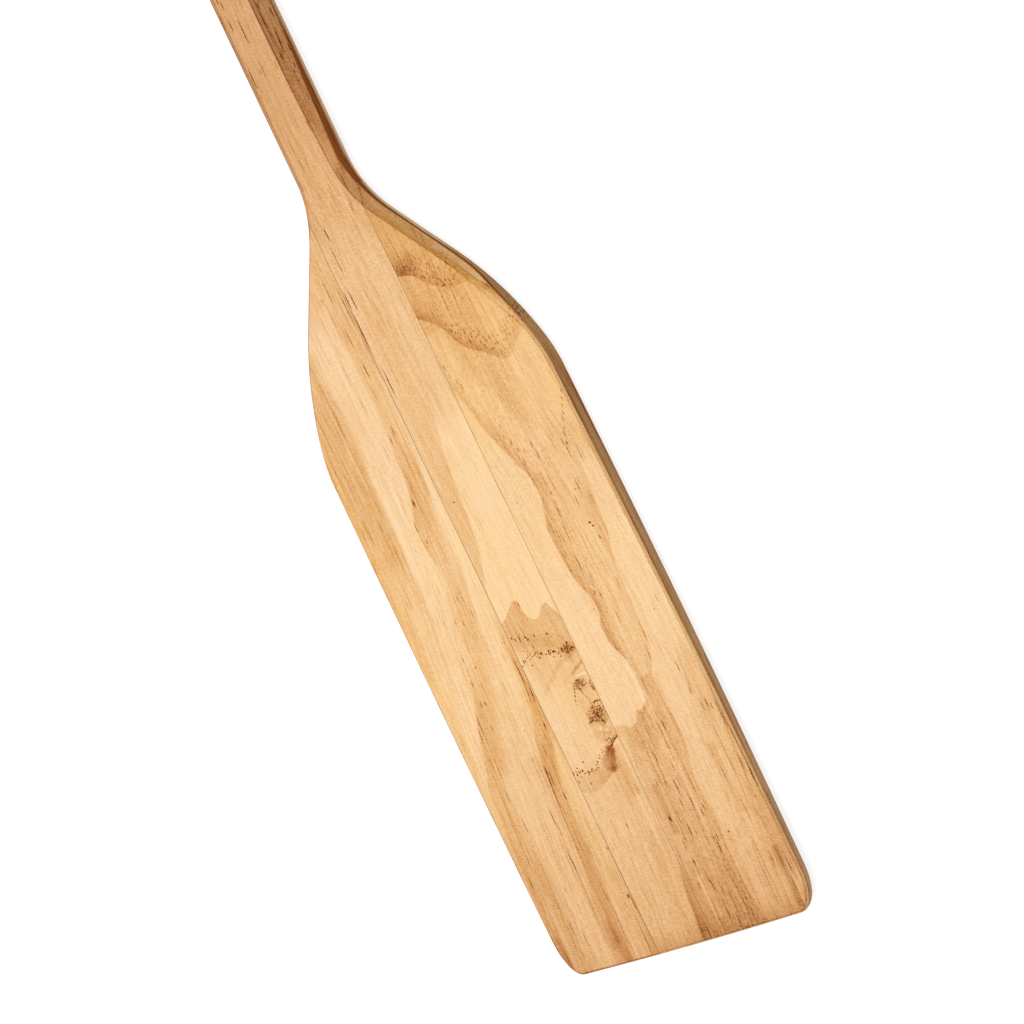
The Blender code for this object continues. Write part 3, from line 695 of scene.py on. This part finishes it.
def left_bands(pine):
    """The change of tone in the left wing's bands, and where its grain is streaky."""
    margin = 1.0 - pine.beside((
        (-440, -50), (-385, -49.5), (-350, -49), (-330, -47), (-310, -46), (-290, -47), (-270, -48),
        (-250, -50)), 3)
    margin = margin * pine.by_y((
        (-460, 0), (-420, 0.12), (-388, 0.28), (-376, 0.4), (-330, 0.34), (-290, 0.26), (-262, 0)))

    upper = pine.beside((
        (-445, -41), (-425, -40), (-410, -37.5), (-396, -34.5), (-384, -36), (-378, -36.5), (-365, -34),
        (-355, -31), (-340, -29), (-320, -28), (-262, -27.5)), 0.8)
    upper = upper * (1.0 - pine.beside((
        (-430, -28), (-400, -23.5), (-370, -22.5), (-352, -19), (-330, -17), (-262, -17)), 2))
    upper = upper * pine.by_y((
        (-450, 0.06), (-430, 0.2), (-400, 0.24), (-360, 0.33), (-320, 0.2), (-285, 0.24), (-262, 0.06)))

    past_edge = pine.right_of((
        (-600, -66), (-570, -68), (-540, -67), (-515, -65.5), (-507, -65), (-497, -61), (-485, -58),
        (-475, -54.5), (-465, -50.5), (-455, -47.5), (-440, -44.5)))
    lower = pine.ease(past_edge, -0.5, 0.5) * pine.ease(past_edge, 17, 8)
    lower = lower * pine.by_y((
        (-606, 0.1), (-575, 0.1), (-555, 0.17), (-530, 0.14), (-512, 0.18), (-480, 0.25), (-455, 0.15),
        (-440, 0)))

    heart = pine.beside((
        (-600, -35.5), (-560, -33.5), (-520, -31), (-495, -28), (-480, -23.5), (-465, -21),
        (-440, -19)), 0.9)
    heart = heart * (1.0 - pine.beside((
        (-608, -31), (-590, -30), (-570, -29), (-550, -27), (-516, -24), (-504, -21.5), (-494, -18.5),
        (-480, -15)), 1.4))
    heart = heart * pine.by_y((
        (-608, 0.2), (-560, 0.2), (-530, 0.2), (-503, 0.34), (-486, 0.27), (-470, 0.27), (-440, 0.1),
        (-425, 0)))

    rim = pine.ease(pine.x, -63, -66) * pine.by_y((
        (-600, 0.28), (-588, 0.22), (-575, 0.06), (-550, 0.1), (-450, 0.04), (-405, 0.12), (-385, -0.02),
        (-355, -0.1), (-322, 0)))
    seam = pine.ease(pine.x, -22.5, -18.5) * pine.by_y((
        (-606, 0.12), (-570, 0.06), (-540, -0.03), (-512, 0.04), (-450, 0.1), (-425, 0.04), (-350, -0.07),
        (-300, 0.03), (-262, 0.1), (-240, 0.04), (-225, 0)))
    near_top = pine.spots(pine.place, (
        (-49, -275, 6, 7), (-25.5, -268, 5, 14), (-31.5, -508, 4, 13), (-36.5, -594, 5, 10)))
    bands = margin + upper + lower + heart
    return bands + rim + seam + 0.12 * near_top, pine.math("MULTIPLY", bands, 3, clamp=True)


LEFT_WING_DUCTS = (
    (-17.4, -262, 0.4, 14), (-16.6, -285, 0.3, 16), (-20, -262, 0.28, 12), (-23, -250, 0.26, 8),
    (-28.2, -252, 0.3, 2), (-22.6, -291, 0.24, 6), (-33, -307, 0.32, 7), (-32.8, -333, 0.26, 8),
    (-24, -303, 0.26, 6), (-23.8, -324, 0.32, 4), (-27.2, -327.5, 0.32, 3), (-22.2, -326, 0.26, 2),
    (-38, -361, 0.26, 4), (-35.9, -371, 0.32, 4), (-33.8, -380, 0.3, 2.5), (-42, -381.5, 0.36, 2),
    (-31, -360, 0.6, 3), (-46, -402, 0.28, 3), (-32.2, -411.5, 0.4, 2.2), (-29.4, -411, 0.26, 5),
    (-45.2, -420, 0.3, 5), (-39.2, -422, 0.34, 2.4), (-35.2, -424, 0.34, 2.4), (-28.2, -421, 0.26, 3),
    (-44.6, -440, 0.28, 3), (-39.8, -446, 0.4, 1.6), (-45, -446, 0.3, 1.6), (-46, -453, 0.34, 2.4),
    (-41.2, -455, 0.36, 3), (-44, -464.5, 0.6, 1.6), (-46.2, -464, 0.34, 1.4), (-20, -440, 0.4, 0.8),
    (-18.2, -457, 0.36, 9), (-17, -469, 0.4, 4), (-30.4, -484, 0.4, 1), (-18.4, -485, 0.4, 1.6),
    (-33.2, -499, 0.34, 1), (-28.9, -506, 0.44, 3), (-46.8, -477, 0.3, 3), (-25.6, -521, 0.34, 2.6),
    (-37.2, -530, 0.26, 6), (-38.2, -553, 0.26, 7), (-55.8, -512, 0.26, 7), (-54, -528, 0.26, 6),
    (-49, -565, 0.34, 2.2), (-16.6, -552, 0.5, 1), (-17.6, -577.5, 0.6, 1.8), (-16.6, -580, 0.26, 5),
)


def right_wing_pine():
    """The right board of the blade: flat-sawn, with arched rings at the top and a pale sapwood tongue."""
    pine = Pine("right_wing_pine", 37, ((-610, 0), (-450, 2), (-380, 0), (-330, -4), (-215, -6)))
    tone = pine.by_y((
        (-610, 0.83), (-600, 0.74), (-592, 0.7), (-580, 0.67), (-560, 0.57), (-500, 0.45), (-450, 0.43),
        (-410, 0.45), (-375, 0.5), (-335, 0.44), (-290, 0.5), (-240, 0.6)))
    arch_tone, arch_flecks = right_arches(pine)
    figure_tone, streaky = right_figure(pine)
    tone = tone + arch_tone + figure_tone

    tone = shoulder_edge(pine, tone)
    # Painted shade on the upright side along the shoulder, above a lower limit
    stains_and_shade = pine.painted_side_shade(
        ((-310, 0), (-298, 0.6), (-280, 1), (-255, 1)),
        ((-300, 3.3), (-288, 4.4), (-278, 7), (-270, 7.9), (-250, 7.6), (-230, 8.4), (-215, 9.6)))

    warmth = pine.by_y(((-600, -0.7), (-520, -0.3), (-440, 0.1), (-370, 0.1), (-335, 0.8), (-240, 0.8)))
    warmth = warmth + shoulder_warmth(pine)
    ducts = pine.spots(pine.dots, RIGHT_WING_DUCTS) * pine.by_y(((-600, 0.35), (-560, 0.8), (-520, 1)))
    marks = pine.most([0.62 * ducts, pine.spots(pine.dots, RIGHT_WING_PINS), arch_flecks])
    return pine.finish(tone, 0.9 + 0.8 * streaky, warmth, marks, stains_and_shade)


def shoulder_edge(pine, face):
    """The right wing's planed edge: an orange strip, a duller one greyed by painted sheen with a painted
    highlight along its rim, and the side below.
    """
    facet = pine.by_y((
        (-605, 0.6), (-560, 0.58), (-500, 0.44), (-470, 0.38), (-400, 0.46), (-300, 0.4), (-285, 0.44),
        (-270, 0.63), (-245, 0.65), (-225, 0.68), (-205, 0.8)))
    # Up at the neck the side takes the palest tone: painted light from the floor's bounce, below the
    # painted side shade
    side = pine.by_y((
        (-605, 0.6), (-560, 0.66), (-500, 0.64), (-400, 0.68), (-340, 0.74), (-300, 0.68), (-290, 0.74),
        (-270, 0.7), (-255, 0.3), (-235, 0.02), (-215, 0.02), (-205, 0.42)))
    upper_layer = pine.by_y(((-605, 0.02), (-530, 0.06), (-480, 0.12), (-350, 0.06)))
    layers = pine.curve(pine.depth, ((3.3, 0), (4.6, -0.08), (6.5, -0.04), (9, 0.06), (10, 0.14)))
    layers = layers + upper_layer * pine.ease(pine.depth, 4.4, 3.4)
    # A paler strip along the foot of the side near the tip: painted light from the floor's bounce
    bounce_light_foot = pine.ease(pine.depth, 11, 12.5) * pine.ease(pine.y, -540, -565)
    side = side + layers * pine.ease(pine.y, -325, -345) - 0.30 * bounce_light_foot
    # Up at the neck the rounded back edge is painted pale too: painted light from the floor's bounce
    under = pine.by_y(((-345, 0.74), (-300, 0.86), (-275, 0.78), (-255, 0.2), (-240, 0.02), (-215, 0.02)))
    tone = pine.edge_tones(face, facet, side, under, 0.4)
    on_facet = pine.on_facet()
    # The duller strip low on the facet is painted sheen: greyer and less warm
    painted_sheen = pine.ease(pine.depth, 2.3, 2.8) * pine.between(-282, -226, 10) * on_facet
    # A paler line along the facet's lower crease: a painted highlight
    rim = pine.ease(pine.depth, 4.5, 5.2) * pine.between(-276, -214, 8) * on_facet
    planed = pine.line(pine.depth - pine.by_y((
        (-315, 0.9), (-275, 2.3), (-262, 1.6), (-250, 0.8), (-240, 1.2), (-225, 1.8))), 0.55)
    planed = planed * pine.between(-312, -230, 8) * on_facet
    sheen_tone = pine.by_y(((-275, -0.2), (-262, -0.14), (-245, 0.02), (-225, -0.04)))
    # The facet is painted darker below its top from y -304 to -285: painted shade
    heel_shade = pine.ease(pine.depth, 0.5, 1.3) * pine.between(-304, -285, 5) * on_facet
    # A darker strip along the top of the facet from y -540 to -500: painted shade
    crease = pine.ease(pine.depth, 0.55, 0.25) * pine.between(-540, -500, 12) * on_facet
    return tone + 0.10 * planed + painted_sheen * sheen_tone - 0.22 * rim + 0.28 * heel_shade + 0.22 * crease


def shoulder_warmth(pine):
    """The warmth of the planed edge's orange strip, and of the duller one under it, which painted sheen
    makes less warm.
    """
    orange = pine.ease(pine.depth, 2.8, 2.2) * pine.between(-275, -238, 12)
    painted_sheen = pine.ease(pine.depth, 2.3, 2.8) * pine.between(-280, -215, 10)
    return 1.6 * pine.on_facet() * (orange - painted_sheen)


def right_arches(pine):
    """Two arched rings with sharp lower edges that fade upwards, and the flecks in and above them."""
    first = pine.above((
        (16, -260.5), (20, -262), (24, -264.5), (27, -268), (30, -271.5), (33, -274), (36, -276),
        (39, -278.3), (45, -278.3), (52, -280)))
    second = pine.above((
        (16, -283), (20, -286), (23, -289), (26, -293.5), (28, -298), (30, -302), (33, -306), (36, -308.5),
        (40, -311.5), (43, -314.5), (46, -317), (49, -319), (52, -318.6), (56, -315.8), (59, -313.2),
        (63, -311), (68, -309)))
    fade = ((0, 1), (3, 0.85), (7, 0.45), (14, 0))
    first_band = pine.ease(first, -0.35, 0.35) * pine.curve(first, fade)
    first_band = first_band * pine.curve(pine.u, ((16, 0.34), (22, 0.29), (30, 0.17), (50, 0.13)))
    second_band = pine.ease(second, -0.35, 0.35) * pine.curve(second, fade)
    second_band = second_band * pine.curve(pine.u, (
        (16, 0.34), (21, 0.24), (34, 0.26), (50, 0.2), (64, 0.16)))
    near_first = pine.curve(first, ((0, 0.5), (4, 1), (12, 0.8), (20, 0)))
    near_first = near_first * pine.curve(pine.u, ((16, 0.35), (24, 0.5), (30, 1), (42, 0.9), (48, 0)))
    near_second = pine.curve(second, ((2, 0), (5, 1), (11, 1), (15, 0))) * pine.ease(pine.u, 22, 30)
    flecks = pine.flecks((1.25, 3.6), 0.32, 4.1)
    return first_band + second_band, 0.36 * flecks * pine.most([0.8 * near_first, near_second])


def right_figure(pine):
    """The right wing's pale tongue and pale outer part, and where its grain is streaky."""
    past_tongue = pine.right_of((
        (-500, 28), (-496, 30.5), (-493.5, 35), (-487, 38), (-480, 38), (-472, 37.5), (-467, 36),
        (-460, 33.5), (-452, 33), (-443, 35.5), (-438, 35), (-430, 32.3), (-418, 30), (-402, 29.5),
        (-395, 31), (-388, 33), (-382, 33.8), (-374, 33), (-367, 30.5), (-360, 28), (-352, 25), (-343, 22),
        (-330, 19.3), (-318, 16)))
    tongue_end = pine.below((
        (16, -498), (20, -498.3), (25, -500.5), (29, -498), (31, -494), (34, -495), (38, -490)), 0.6)
    tongue = pine.ease(past_tongue, 0.45, -0.45) * (1.0 - tongue_end) * pine.ease(pine.y, -316, -330)
    rim = pine.ease(past_tongue, 0, 0.8) * pine.ease(past_tongue, 7, 1.5) * pine.between(-490, -350, 14)

    past_pale = pine.right_of((
        (-608, 44), (-590, 43), (-580, 42.5), (-570, 42.8), (-555, 44), (-548, 43.2), (-540, 42.8),
        (-530, 43.7), (-523, 45), (-510, 47.2), (-503, 47), (-490, 45.8), (-483, 46), (-478, 48),
        (-474, 49.8), (-460, 52.5), (-440, 53.5), (-425, 54.5), (-410, 58), (-370, 61)))
    pale = pine.ease(past_pale, -0.6, 0.6) * pine.by_y((
        (-608, 0.06), (-590, 0.13), (-560, 0.14), (-520, 0.13), (-480, 0.16), (-440, 0.27), (-405, 0.26),
        (-370, 0)))
    heart_rim = pine.ease(past_pale, 0, -0.6) * pine.ease(past_pale, -5.5, -1.5)
    heart_rim = heart_rim * pine.between(-510, -440, 20)

    low = pine.ease(pine.y, -498, -508) * pine.ease(past_pale, 0.5, -0.5)
    middle = pine.ease(past_tongue, 0, 1) * pine.ease(past_pale, 0.5, -0.5) * pine.ease(pine.y, -340, -365)
    outer = pine.ease(past_pale, 9, 13) * pine.ease(pine.y, -470, -490)
    low = low * pine.by_y(((-608, 0.2), (-575, 0.55), (-540, 0.8)))
    streaky = pine.most([low, 0.55 * middle, 0.6 * outer])
    tone = 0.10 * rim + 0.08 * heart_rim - 0.28 * tongue - pale
    return tone + right_shades(pine), streaky


def right_shades(pine):
    """The right wing's soft shades and streaks, darker or paler than the wood round them."""
    fringe = pine.stroke_along(((-374, 41), (-350, 37), (-333, 30), (-318, 23), (-292, 16.5)), 9)
    flank = pine.stroke_along(((-480, 43.5), (-440, 46), (-400, 47.5), (-355, 44)), 10)
    shoulder = pine.spots(pine.place, ((57, -375, 13, 17),))
    edge_shade = pine.ease(pine.x, 58, 65.5) * pine.between(-580, -482, 12)
    shades = pine.spots(pine.place, ((32, -505, 12, 14), (35.5, -441, 4, 8), (26, -257, 7, 6)))
    red_streak = pine.stroke_along(((-606, 64.5), (-590, 64.5), (-575, 65)), 2.6)
    brown_streak = pine.stroke_along(((-556, 59), (-540, 58.2), (-520, 57.5)), 2.4)
    inner_streak = pine.stroke_along(((-556, 21.5), (-545, 22), (-530, 22.5)), 3)
    pale_streak = pine.stroke_along(((-600, 23.5), (-590, 23), (-578, 22.5)), 3)
    outer_top = pine.ease(pine.u, 44, 52) * pine.between(-352, -292, 16)
    darker = 0.14 * edge_shade + 0.10 * shades
    darker = darker + 0.16 * pine.most([red_streak, 0.8 * brown_streak, inner_streak])
    paler = 0.14 * pine.most([fringe, flank, shoulder]) + 0.13 * outer_top + 0.15 * pale_streak
    return darker - paler


RIGHT_WING_PINS = (
    (51.3, -404.6, 0.8, 0.75), (52.2, -406.6, 0.6, 0.6), (36.4, -275, 1.3, 0.42), (21.2, -382, 0.4, 0.4),
    (47, -562.6, 0.55, 0.5), (67.3, -551, 0.35, 0.4), (62, -453.5, 0.4, 0.35), (54, -561, 0.3, 0.3),
    (16.3, -212.2, 0.4, 0.6), (17.9, -213.6, 0.3, 0.4), (33.6, -442.5, 0.5, 0.3),
)
RIGHT_WING_DUCTS = (
    (17.2, -309, 0.3, 2.2), (18, -314, 0.26, 1.6), (21.4, -321, 0.32, 2.6), (20.2, -318, 0.24, 2),
    (30.8, -346, 0.34, 1.8), (32.2, -355, 0.36, 1.8), (30, -351, 0.26, 1.4), (34, -359.5, 0.36, 1.8),
    (36.8, -361.5, 0.38, 1.8), (34.2, -366, 0.26, 3), (41.6, -360, 0.3, 2.6), (42.2, -366, 0.3, 4),
    (56.6, -366, 0.3, 3), (58.4, -366.8, 0.36, 1.4), (59.4, -362.5, 0.34, 2), (60.6, -360, 0.3, 2),
    (62, -356, 0.34, 2), (63.4, -353.5, 0.34, 1.6), (64.6, -350.5, 0.34, 1.6), (66, -347.6, 0.38, 1.6),
    (67.4, -344, 0.34, 1.6), (62, -374, 0.32, 6), (57.4, -371, 0.26, 5), (50.3, -393, 0.36, 4),
    (52, -388, 0.42, 0.8), (54, -386, 0.26, 5), (52.8, -412.5, 0.38, 1.8), (55.5, -385, 0.26, 2.6),
    (39.8, -384.5, 0.32, 1.4), (39, -394, 0.3, 4), (38, -405, 0.3, 7), (33.6, -404, 0.26, 6),
    (36.8, -420, 0.28, 6), (38.8, -431, 0.26, 3), (37.8, -435.5, 0.38, 2), (40.2, -438, 0.3, 3),
    (48.2, -426, 0.26, 7), (51, -436, 0.3, 5), (43.4, -450, 0.28, 6), (47.8, -443, 0.26, 2),
    (65.4, -449, 0.3, 2.4), (60, -482, 0.28, 4), (60.4, -494.5, 0.38, 2.6), (62.8, -503, 0.34, 5),
    (65.4, -503, 0.32, 4), (67, -504.5, 0.3, 2.4), (69.6, -508, 0.32, 12), (37.8, -507, 0.36, 5),
    (40.2, -505, 0.36, 3.4), (29.2, -518.5, 0.28, 4), (35.2, -524, 0.34, 4), (32.4, -535, 0.34, 5),
    (34.4, -533, 0.28, 5), (31, -543, 0.28, 5), (27.8, -531, 0.26, 3), (23.6, -529.5, 0.26, 2.6),
    (36.2, -544, 0.28, 6), (38.8, -550, 0.32, 2.6), (40.8, -548, 0.38, 2.4), (21.8, -548, 0.6, 2),
    (24.4, -559, 0.3, 5), (22.8, -562, 0.28, 4), (23.4, -571, 0.42, 2.6), (28.6, -556, 0.28, 4),
    (40.4, -563, 0.32, 3), (27, -584, 0.3, 5), (30.8, -588, 0.34, 3), (20.4, -583, 0.26, 4),
    (25, -596, 0.26, 7), (28, -600, 0.3, 6), (33, -594, 0.26, 7), (38, -598, 0.26, 7),
    (57.6, -535, 0.28, 8), (68, -534, 0.26, 5), (64, -558, 0.26, 6), (61, -580, 0.26, 5),
)


def grip_pine():
    """The blocks of the palm grip: straight grain, a little darker where it is held."""
    pine = Pine("grip_pine", 51, ())
    tone = pine.by_y(((500, 0.6), (560, 0.66), (610, 0.72)))
    tone = pine.edge_tones(tone, 0.74, 0.76, 0.74)
    return pine.finish(tone, 0.8, -1)


def glue_film(name, colour, worn):
    """Dried glue, whose colour comes and goes along its line."""
    graph = Graph(bpy.data.materials.new(name))
    place = graph.in_mm(graph.node("TexCoord").outputs["Object"])
    fade = graph.ease(graph.noise(place, GLUE_FADE_SIZE, 3.0), 0.35, 0.65)
    shader = graph.node("BsdfPrincipled")
    graph.feed(shader.inputs["Base Color"], graph.mix(linear(colour), linear(worn), fade))
    graph.feed(shader.inputs["Roughness"], GLUE_ROUGHNESS + 0.15 * fade)
    return graph.show(shader)


def add_object(name, data):
    """A new object in the scene, with the given mesh, lamp or camera."""
    item = bpy.data.objects.new(name, data)
    bpy.context.scene.collection.objects.link(item)
    return item


def dress(node_name, piece_name, material):
    """A board with the CAD solid's shape, cleaned of its coplanar triangles and shaded smoothly."""
    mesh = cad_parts[node_name].data.copy()
    mesh.name = piece_name
    work = bmesh.new()
    work.from_mesh(mesh)
    bmesh.ops.remove_doubles(work, verts=work.verts, dist=WELD_DISTANCE)
    bmesh.ops.dissolve_limit(work, angle_limit=FLAT_ANGLE, verts=work.verts, edges=work.edges)
    work.to_mesh(mesh)
    work.free()
    if "custom_normal" in mesh.attributes:
        mesh.attributes.remove(mesh.attributes["custom_normal"])
    mesh.shade_smooth()
    mesh.set_sharp_from_angle(angle=SHARP_ANGLE)
    mesh.materials.clear()
    mesh.materials.append(material)
    piece = add_object(piece_name, mesh)
    normals = piece.modifiers.new("flat faces keep their shading", "WEIGHTED_NORMAL")
    normals.keep_sharp = True
    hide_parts(node_name)
    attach(piece, "root")


def make_film(node_name, piece_name, material):
    """The glue between a board and the stave, in the gap that the CAD leaves there."""
    work = bmesh.new()
    work.from_mesh(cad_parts[node_name].data)
    bmesh.ops.remove_doubles(work, verts=work.verts, dist=WELD_DISTANCE)
    low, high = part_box(node_name)
    plane = high.x if high.x < 0 else low.x
    towards_stave = 1.0 if plane < 0 else -1.0
    others = [face for face in work.faces if max(abs(v.co.x - plane) for v in face.verts) > WELD_DISTANCE]
    bmesh.ops.delete(work, geom=others, context="FACES")
    bmesh.ops.dissolve_limit(work, angle_limit=FLAT_ANGLE, verts=work.verts, edges=work.edges)
    ring = bmesh.ops.inset_region(work, faces=work.faces, thickness=FILM_INSET, use_even_offset=True)
    bmesh.ops.delete(work, geom=ring["faces"], context="FACES")
    sides = bmesh.ops.extrude_face_region(work, geom=work.faces[:])
    moved = [item for item in sides["geom"] if isinstance(item, bmesh.types.BMVert)]
    bmesh.ops.translate(work, verts=moved, vec=(towards_stave * FILM_THICKNESS, 0.0, 0.0))
    start = 0.5 * (GLUE_GAP - FILM_THICKNESS) * towards_stave
    bmesh.ops.translate(work, verts=work.verts, vec=(start, 0.0, 0.0))
    bmesh.ops.recalc_face_normals(work, faces=work.faces)
    mesh = bpy.data.meshes.new(piece_name)
    work.to_mesh(mesh)
    work.free()
    mesh.materials.append(material)
    piece = add_object(piece_name, mesh)
    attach(piece, "root")


def turn(first, second, angle):
    """Two axes, turned by an angle in their own plane."""
    return cos(angle) * first - sin(angle) * second, sin(angle) * first + cos(angle) * second


def make_camera():
    """The photo's view: from the right of the blade's front, turned about the line of sight."""
    out, along = turn(Vector((0.0, 0.0, 1.0)), Vector((0.0, 1.0, 0.0)), CAMERA_PITCH)
    right, back = turn(Vector((1.0, 0.0, 0.0)), out, CAMERA_SIDE_ANGLE)
    turned_right, turned_up = turn(right, along, CAMERA_ROLL)
    data = bpy.data.cameras.new("camera")
    data.lens = FOCAL_LENGTH
    data.sensor_width = SENSOR_WIDTH
    data.clip_start = NEAR_LIMIT
    camera = add_object("camera", data)
    axes = Matrix((turned_right, turned_up, back)).transposed().to_4x4()
    place = CAMERA_AIM + CAMERA_OFFSET * right + CAMERA_DISTANCE * back
    camera.matrix_world = Matrix.Translation(place) @ axes
    bpy.context.scene.camera = camera


def make_floor():
    """A pale floor, white to the eye, with the paddle's shadow on it."""
    graph = Graph(bpy.data.materials.new("floor"))
    seen = Term(graph, graph.node("LightPath").outputs["Is Camera Ray"])
    plain = graph.node("BsdfDiffuse")
    graph.feed(plain.inputs["Color"], graph.blend(FLOOR_GREY, FLOOR_GREY_IN_VIEW, seen))
    glow = graph.node("Emission")
    graph.feed(glow.inputs["Strength"], FLOOR_GLOW_IN_VIEW * seen)
    both = graph.node("AddShader")
    graph.tree.links.new(plain.outputs[0], both.inputs[0])
    graph.tree.links.new(glow.outputs[0], both.inputs[1])
    mesh = bpy.data.meshes.new("floor")
    half = 0.5 * FLOOR_SIZE
    level = cad_low.z - FLOOR_DROP
    corners = [(-half, -half, level), (half, -half, level), (half, half, level), (-half, half, level)]
    mesh.from_pydata(corners, [], [(0, 1, 2, 3)])
    mesh.materials.append(graph.show(both))
    floor = add_object("floor", mesh)


def make_lights():
    """A softbox straight above the blade, and a surround that is white to the eye and in reflections."""
    data = bpy.data.lights.new("softbox", "AREA")
    data.shape = "SQUARE"
    data.size = SOFTBOX_SIZE
    data.energy = SOFTBOX_WATTS
    softbox = add_object("softbox", data)
    softbox.location = (0.0, CAMERA_AIM.y, SOFTBOX_HEIGHT)
    graph = Graph(bpy.data.worlds.new("studio"))
    rays = graph.node("LightPath").outputs
    kinds = ("Is Camera Ray", "Is Glossy Ray", "Is Transmission Ray")
    shown = graph.most([Term(graph, rays[kind]) for kind in kinds])
    background = graph.node("Background")
    strength = graph.blend(AMBIENT_STRENGTH, 1.0, shown)
    graph.fill(background, {"Color": (1.0, 1.0, 1.0, 1.0), "Strength": strength})
    bpy.context.scene.world = graph.show(background, "OutputWorld")


bpy.context.scene.view_settings.view_transform = "Standard"
make_camera()
make_floor()
make_lights()

dress("shaft_stave", "stave_board", stave_pine())
dress("left_blade_wing", "left_wing_board", left_wing_pine())
dress("right_blade_wing", "right_wing_board", right_wing_pine())
cheek_pine = grip_pine()
dress("left_grip_cheek", "left_cheek_block", cheek_pine)
dress("right_grip_cheek", "right_cheek_block", cheek_pine)

dark_glue = glue_film("dark_glue", DARK_GLUE, PALE_GLUE)
pale_glue = glue_film("pale_glue", PALE_GLUE, FADED_GLUE)
make_film("left_blade_wing", "left_wing_glue", dark_glue)
make_film("right_blade_wing", "right_wing_glue", pale_glue)
make_film("left_grip_cheek", "left_cheek_glue", pale_glue)
make_film("right_grip_cheek", "right_cheek_glue", pale_glue)
